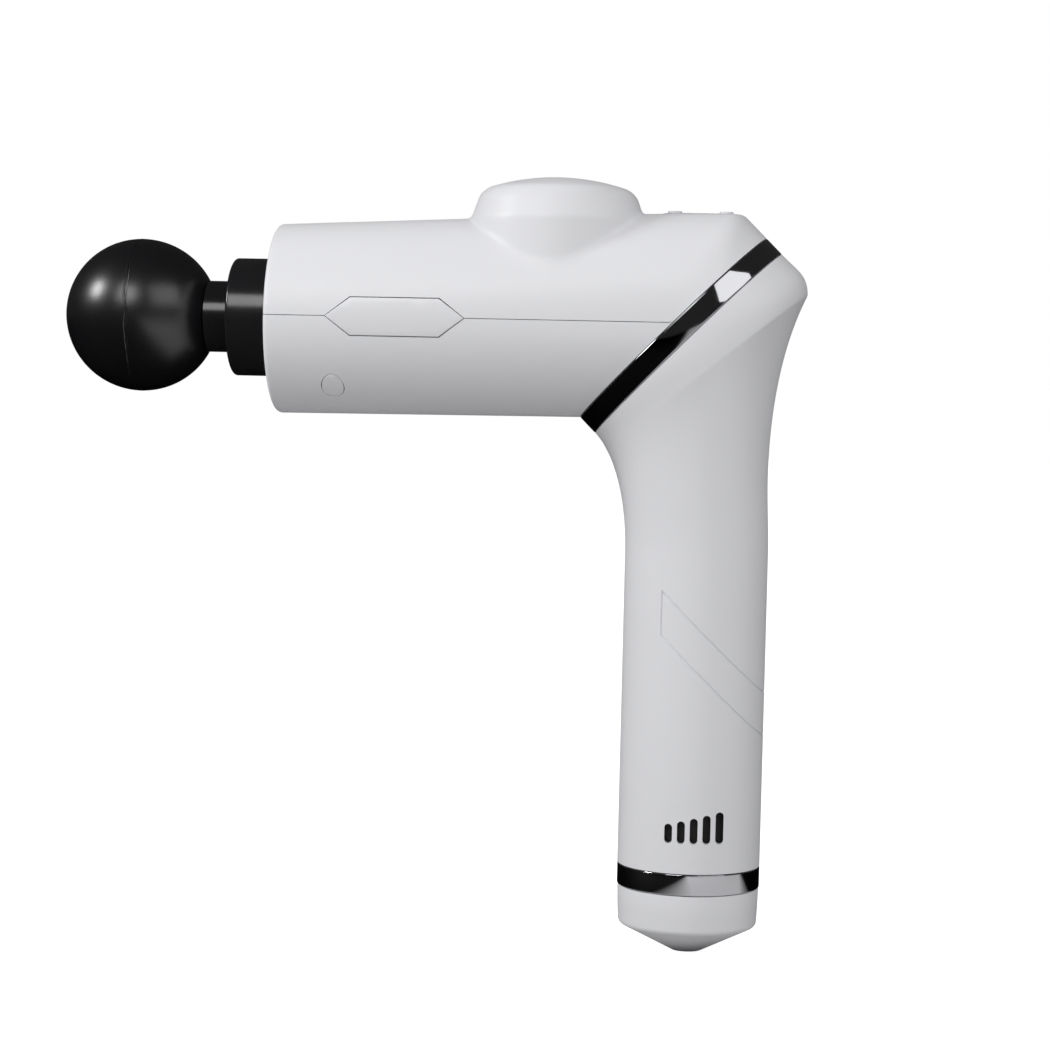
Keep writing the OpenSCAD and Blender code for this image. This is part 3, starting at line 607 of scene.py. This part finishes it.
def moulded(name, color, rough, grain=900, depth=0.02, vary=0.02, spec=0.4):
    """Moulded plastic or rubber: fine grain, slightly uneven gloss and tone."""
    mat, nt, bsdf = shader(name, color, rough, spec=spec)
    broad = noise(nt, 14, 2)
    nt.links.new(ramp(nt, broad, 0.3, 0.7, tinted(color, 1 - vary), tinted(color, 1 + vary)),
                 bsdf.inputs["Base Color"])
    nt.links.new(ramp(nt, noise(nt, 60, 4), 0.3, 0.7, (rough * 0.92,), (min(1, rough * 1.08),)),
                 bsdf.inputs["Roughness"])
    bump(nt, bsdf, noise(nt, grain, 2), 0.35, depth)
    return mat


def polished(name, color, rough, metallic, smear=0.05):
    """A polished surface with faint smears."""
    mat, nt, bsdf = shader(name, color, rough, metallic)
    nt.links.new(ramp(nt, noise(nt, 45, 5, 0.6), 0.35, 0.75, (rough,), (rough + smear,)),
                 bsdf.inputs["Roughness"])
    nt.links.new(ramp(nt, noise(nt, 9, 2), 0.3, 0.7, tinted(color, 0.94), tinted(color, 1.06)),
                 bsdf.inputs["Base Color"])
    bump(nt, bsdf, noise(nt, 120, 2), 0.05, 0.01)
    return mat


def machined(name, color, rough, metallic=1.0):
    """Ground or cast metal: directional marks in the gloss."""
    mat, nt, bsdf = shader(name, color, rough, metallic)
    wave = nt.nodes.new("ShaderNodeTexWave")
    coord = nt.nodes.new("ShaderNodeTexCoord")
    nt.links.new(coord.outputs["Object"], wave.inputs["Vector"])
    wave.inputs["Scale"].default_value = 700
    wave.inputs["Distortion"].default_value = 3
    nt.links.new(ramp(nt, wave.outputs["Fac"], 0, 1, (rough * 0.85,), (rough * 1.2,)),
                 bsdf.inputs["Roughness"])
    nt.links.new(ramp(nt, noise(nt, 70), 0.3, 0.7, tinted(color, 0.9), tinted(color, 1.08)),
                 bsdf.inputs["Base Color"])
    bump(nt, bsdf, wave.outputs["Fac"], 0.1, 0.01)
    return mat


def clear_pipe(name, color, rough):
    """The pale light pipes."""
    mat, nt, bsdf = shader(name, color, rough)
    nt.links.new(ramp(nt, noise(nt, 200), 0.3, 0.7, tinted(color, 0.92), tinted(color, 1.05)),
                 bsdf.inputs["Base Color"])
    return mat


WHITE = (0.71, 0.712, 0.735)
MATERIALS = {
    "white_plastic": moulded("white_plastic", WHITE, 0.44, 1400, 0.012, 0.006),
    "badge_plastic": moulded("badge_plastic", tinted(WHITE, 0.985), 0.34, 1400, 0.008, 0.006),
    "button_white": moulded("button_white", tinted(WHITE, 0.97), 0.4, 1400, 0.01, 0.01),
    "black_gloss": polished("black_gloss", (0.010, 0.010, 0.011), 0.16, 0.0, 0.06),
    "black_foam": moulded("black_foam", (0.005, 0.005, 0.006), 0.31, 1100, 0.03, 0.12, 0.75),
    "dark_chrome": polished("dark_chrome", (0.45, 0.45, 0.47), 0.05, 1.0, 0.05),
    "bush_bronze": machined("bush_bronze", (0.50, 0.30, 0.13), 0.4),
    "seal_rubber": moulded("seal_rubber", (0.015, 0.015, 0.016), 0.5),
    "ring_rubber": moulded("ring_rubber", (0.30, 0.03, 0.02), 0.4),
    "cast_alloy": machined("cast_alloy", (0.58, 0.58, 0.60), 0.42),
    "machined_alloy": machined("machined_alloy", (0.68, 0.68, 0.70), 0.3),
    "screw_steel": machined("screw_steel", (0.09, 0.09, 0.10), 0.36),
    "bearing_steel": machined("bearing_steel", (0.66, 0.67, 0.69), 0.2),
    "lamination": machined("lamination", (0.22, 0.24, 0.27), 0.5),
    "copper_wire": machined("copper_wire", (0.55, 0.17, 0.05), 0.35),
    "rotor_steel": machined("rotor_steel", (0.55, 0.56, 0.58), 0.25),
    "magnet": machined("magnet", (0.08, 0.09, 0.10), 0.4),
    "nylon_dark": moulded("nylon_dark", (0.03, 0.03, 0.033), 0.55),
    "board_green": moulded("board_green", (0.01, 0.10, 0.04), 0.35, vary=0.15),
    "chip_black": moulded("chip_black", (0.015, 0.015, 0.016), 0.45),
    "cell_wrap": moulded("cell_wrap", (0.03, 0.10, 0.28), 0.3),
    "nickel": machined("nickel", (0.55, 0.54, 0.50), 0.3),
    "mesh_black": moulded("mesh_black", (0.008, 0.008, 0.008), 0.7),
    "bezel_grey": moulded("bezel_grey", (0.42, 0.42, 0.44), 0.3, 1400, 0.008),
    "light_pipe": clear_pipe("light_pipe", (0.70, 0.80, 0.90), 0.15),
    "lead_red": moulded("lead_red", (0.40, 0.015, 0.015), 0.45),
    "lead_yellow": moulded("lead_yellow", (0.50, 0.32, 0.02), 0.45),
}


def finish(obj, slot, node=None):
    """Gives a piece its material and, where it stands for a CAD node, hides that node."""
    obj.data.materials.clear()
    obj.data.materials.append(MATERIALS[slot])
    if node:
        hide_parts(node)


def dress_cad_nodes():
    """Every CAD node gets its slot's material; the two buttons, the control bezel, the side badges and the
    screw covers also get softened edges.
    """
    for part in frame["record"]["subparts"]:
        obj = frame["nodes"][part["node"]]
        mat = MATERIALS[part["material_slot"]]
        if not obj.material_slots:
            obj.data.materials.append(mat)
        for place in obj.material_slots:
            place.material = mat
    for node, width in (("front_button", 0.35), ("rear_button", 0.35), ("control_bezel", 0.3),
                        ("side_badges", 0.12), ("screw_plugs", 0.15)):
        obj = frame["nodes"][node]
        weld = obj.modifiers.new("weld", "WELD")
        weld.merge_threshold = 0.002 * MM
        soft = obj.modifiers.new("soft_edges", "BEVEL")
        soft.width = width * MM
        soft.segments = 3
        soft.limit_method = "ANGLE"
        soft.angle_limit = math.radians(40)


# ---- Studio ----
def area_light(name, place, aim, size, power, size_y=None):
    """A soft box at a place, turned to its aim; places in metres."""
    data = bpy.data.lights.new(name, "AREA")
    data.shape = "RECTANGLE"
    data.size = size
    data.size_y = size_y or size
    data.energy = power
    obj = bpy.data.objects.new(name, data)
    obj.location = place
    obj.rotation_euler = (Vector(aim) - Vector(place)).to_track_quat("-Z", "Y").to_euler()
    bpy.context.scene.collection.objects.link(obj)


def remap(nt, source, span, result):
    """Maps a value from one span onto another."""
    node = nt.nodes.new("ShaderNodeMapRange")
    for name, value in zip(("From Min", "From Max", "To Min", "To Max"), (*span, *result)):
        node.inputs[name].default_value = value
    nt.links.new(source, node.inputs["Value"])
    return node.outputs["Result"]


def combine(nt, operation, first, second):
    """A sum, product or other combination of a value with a second value or a number."""
    node = nt.nodes.new("ShaderNodeMath")
    node.operation = operation
    nt.links.new(first, node.inputs[0])
    if isinstance(second, float):
        node.inputs[1].default_value = second
    else:
        nt.links.new(second, node.inputs[1])
    return node.outputs["Value"]


FLOOR_BOUNCE = 0.52            # how light the floor is to the light that falls on the gun
FLOOR_GLOW = 0.93
WORLD_FILL = 0.46
WORLD_IN_REFLECTIONS = 0.03


def floor_paper():
    """Pale paper: white to look at, quiet as a bounce, with one bright patch in reflections."""
    mat, nt, bsdf = shader("studio_paper", (0.3, 0.3, 0.3), 0.9, spec=0.1)
    path = nt.nodes.new("ShaderNodeLightPath")
    reflected = path.outputs["Is Glossy Ray"]
    split = nt.nodes.new("ShaderNodeSeparateXYZ")
    coord = nt.nodes.new("ShaderNodeTexCoord")
    nt.links.new(coord.outputs["Object"], split.inputs["Vector"])
    patch = reflected
    for axis, span in (("X", (-0.07, 0.015)), ("Y", (0.03, -0.01))):
        patch = combine(nt, "MULTIPLY", patch, remap(nt, split.outputs[axis], span, (0, 1)))
    tone = combine(nt, "MAXIMUM", remap(nt, reflected, (0, 1), (FLOOR_BOUNCE, 0)), patch)
    nt.links.new(tone, bsdf.inputs["Base Color"])
    bsdf.inputs["Emission Color"].default_value = (1, 1, 1, 1)
    nt.links.new(combine(nt, "MULTIPLY", path.outputs["Is Camera Ray"], FLOOR_GLOW),
                 bsdf.inputs["Emission Strength"])
    return mat


def build_stage():
    """A pale floor under the gun."""
    floor = cap_low[2] - 0.05
    pts = np.array([[(x, y, floor) for x in (-9000.0, 9000.0)] for y in (-3000.0, 9000.0)])
    obj = sheet_object("studio_floor", pts, body=None)
    obj.data.materials.append(floor_paper())


def build_light():
    """A white studio: bright to look at, dim in reflections, with three soft boxes."""
    world = bpy.data.worlds.new("studio")
    bpy.context.scene.world = world
    world.use_nodes = True
    nt = world.node_tree
    path = nt.nodes.new("ShaderNodeLightPath")
    fill = remap(nt, path.outputs["Is Glossy Ray"], (0, 1), (WORLD_FILL, WORLD_IN_REFLECTIONS))
    nt.nodes["Background"].inputs["Color"].default_value = (1, 1, 1, 1)
    nt.links.new(combine(nt, "MAXIMUM", path.outputs["Is Camera Ray"], fill),
                 nt.nodes["Background"].inputs["Strength"])
    aim = (-0.06, 0, AXIS_Z * MM)
    area_light("key", (-0.38, -0.85, 0.62), aim, 0.45, 3.0, 0.38)
    area_light("left", (-0.95, -0.30, 0.56), (-0.18, 0, AXIS_Z * MM), 0.24, 4.2, 0.24)
    area_light("right", (0.60, -0.66, 0.66), (0, 0, AXIS_Z * MM), 0.9, 3.0, 0.6)


def build_camera():
    """A long lens a little below the barrel, 0.85 m from the gun's left side."""
    place = Vector((21.6, -848.9, AXIS_Z - 27.0)) * MM
    aim = Vector((-56.1, 0, AXIS_Z - 65.85)) * MM
    data = bpy.data.cameras.new("camera")
    data.lens = 89.6
    data.sensor_width = 36
    data.clip_start = 0.01
    obj = bpy.data.objects.new("camera", data)
    bpy.context.scene.collection.objects.link(obj)
    look = (aim - place).to_track_quat("-Z", "Y").to_matrix().to_4x4()
    roll = Matrix.Rotation(math.radians(1.35), 4, "Z")
    obj.matrix_world = Matrix.Translation(place) @ look @ roll
    bpy.context.scene.camera = obj


build_camera()
band_outline = build_barrel()
build_band(band_outline)
build_handle(band_outline)
build_round_pieces()
build_ball()
dress_cad_nodes()
build_stage()
build_light()
bpy.context.scene.view_settings.view_transform = "Standard"
